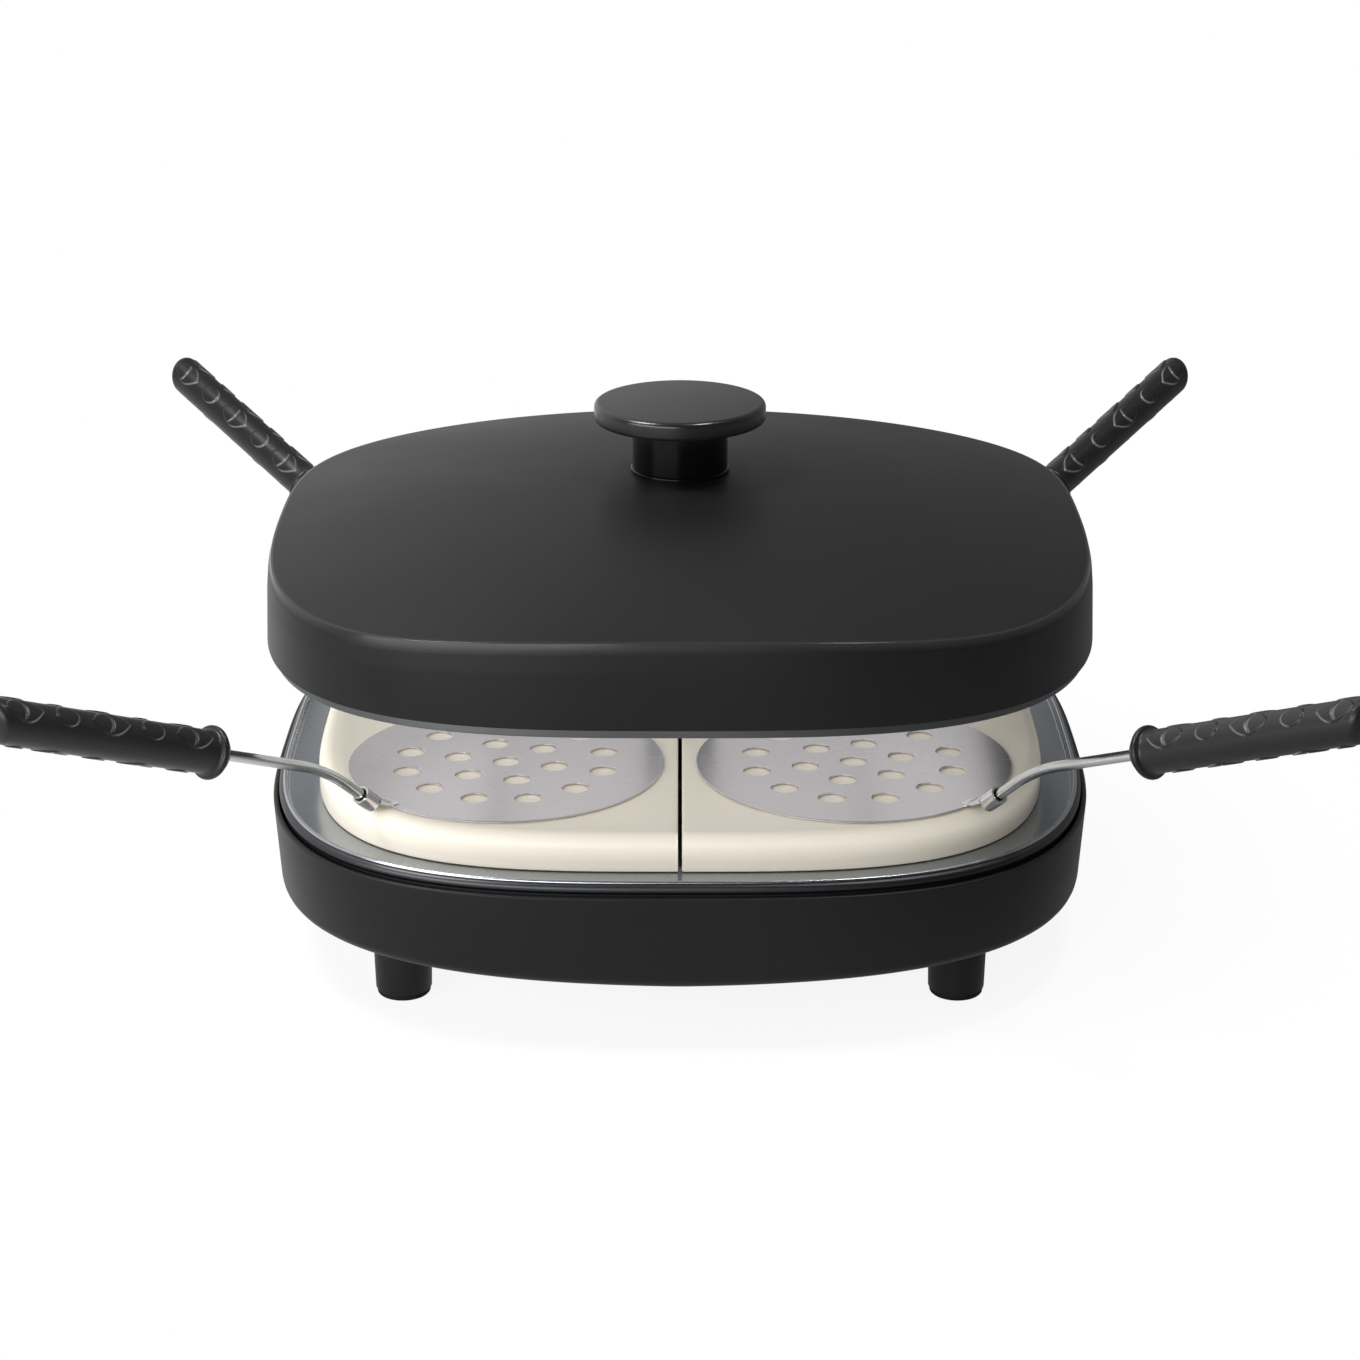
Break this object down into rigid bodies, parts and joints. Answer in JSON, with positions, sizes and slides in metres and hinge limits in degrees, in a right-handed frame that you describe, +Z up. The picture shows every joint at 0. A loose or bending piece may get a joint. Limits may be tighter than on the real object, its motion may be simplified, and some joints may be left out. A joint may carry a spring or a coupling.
{
  "type": "electric pizza maker",
  "caption": "Countertop pizza maker: square heated base with a split cream baking plate, lift-off charcoal lid on a central column, and long-handled round spatulas at the corners.",
  "frame": {"origin": "floor level, under the middle of the central column", "axes": "+Z up, -Y towards the front, +X to the right seen from the front"},
  "size_m": [0.465, 0.4583, 0.2014],
  "materials": {
    "black_coat": "matte charcoal non-stick coat",
    "liner_steel": "satin",
    "tray_steel": "satin, rolled bead",
    "sheet_steel": "mill finish",
    "column_steel": "turned",
    "plated_steel": "zinc plated",
    "heater_sheath": "heat-darkened sheath",
    "baking_stone": "satin cream",
    "blade_steel": "satin stainless",
    "rod_steel": "bright drawn",
    "grip_plastic": "moulded leaf relief",
    "knob_matte": "satin phenolic",
    "knob_gloss": "polished phenolic",
    "foot_plastic": "moulded",
    "foot_rubber": "matte",
    "switch_plastic": "moulded",
    "porcelain": "unglazed",
    "wire_sleeve": "silicone sleeve"
  },
  "bodies": {
    "base": {"base_shell": "black_coat", "bottom_plate": "sheet_steel", "bottom_screws": "plated_steel", "foot_screws": "plated_steel", "tray": "tray_steel", "tray_posts": "plated_steel", "post_screws": "plated_steel", "lower_reflector": "sheet_steel", "lower_element": "heater_sheath", "lower_clips": "plated_steel", "column_tube": "column_steel", "column_foot": "column_steel", "column_screws": "plated_steel", "column_cap": "column_steel", "reflector_collar": "column_steel", "upper_reflector": "sheet_steel", "upper_element": "heater_sheath", "upper_clips": "plated_steel", "terminal_block": "porcelain", "thermal_cutout": "porcelain", "wires_lower": "wire_sleeve", "wires_column": "wire_sleeve", "wires_supply": "wire_sleeve", "cord_gland": "switch_plastic", "gland_nut": "switch_plastic", "switch_housing": "switch_plastic", "foot_front_left": "foot_plastic", "foot_front_right": "foot_plastic", "foot_back_left": "foot_plastic", "foot_back_right": "foot_plastic", "pad_front_left": "foot_rubber", "pad_front_right": "foot_rubber", "pad_back_left": "foot_rubber", "pad_back_right": "foot_rubber"},
    "lid": {"lid_shell": "black_coat", "lid_liner": "liner_steel", "lid_socket": "column_steel", "knob_ring": "knob_gloss", "knob_stem": "knob_gloss", "knob_cap": "knob_matte", "knob_screw": "plated_steel"},
    "plate_left": {"plate_left": "baking_stone"},
    "plate_right": {"plate_right": "baking_stone"},
    "switch_rocker": {"switch_rocker": "switch_plastic"},
    "spatula_front_left": {"blade_front_left": "blade_steel", "ferrule_front_left": "rod_steel", "rod_front_left": "rod_steel", "grip_front_left": "grip_plastic"},
    "spatula_front_right": {"blade_front_right": "blade_steel", "ferrule_front_right": "rod_steel", "rod_front_right": "rod_steel", "grip_front_right": "grip_plastic"},
    "spatula_back_left": {"blade_back_left": "blade_steel", "ferrule_back_left": "rod_steel", "rod_back_left": "rod_steel", "grip_back_left": "grip_plastic"},
    "spatula_back_right": {"blade_back_right": "blade_steel", "ferrule_back_right": "rod_steel", "rod_back_right": "rod_steel", "grip_back_right": "grip_plastic"}
  },
  "joints": [
    {"name": "lid_lift", "type": "slide", "parent": "base", "child": "lid", "axis": [0, 0, 1], "range_m": [0, 0.12]},
    {"name": "plate_left_lift", "type": "slide", "parent": "base", "child": "plate_left", "axis": [0, 0, 1], "range_m": [0, 0.012]},
    {"name": "plate_right_lift", "type": "slide", "parent": "base", "child": "plate_right", "axis": [0, 0, 1], "range_m": [0, 0.012]},
    {"name": "spatula_front_left_pull", "type": "slide", "parent": "plate_left", "child": "spatula_front_left", "axis": [-0.7071, -0.7071, 0], "range_m": [0, 0.16]},
    {"name": "spatula_front_right_pull", "type": "slide", "parent": "plate_right", "child": "spatula_front_right", "axis": [0.7071, -0.7071, 0], "range_m": [0, 0.16]},
    {"name": "spatula_back_left_pull", "type": "slide", "parent": "plate_left", "child": "spatula_back_left", "axis": [-0.7175, 0.6965, 0], "range_m": [0, 0.16]},
    {"name": "spatula_back_right_pull", "type": "slide", "parent": "plate_right", "child": "spatula_back_right", "axis": [0.7175, 0.6965, 0], "range_m": [0, 0.16]},
    {"name": "switch_rock", "type": "hinge", "parent": "base", "child": "switch_rocker", "pos_m": [0.03, 0.15386, 0.0425], "axis": [0, 0, 1], "range_deg": [0, 18]}
  ]
}
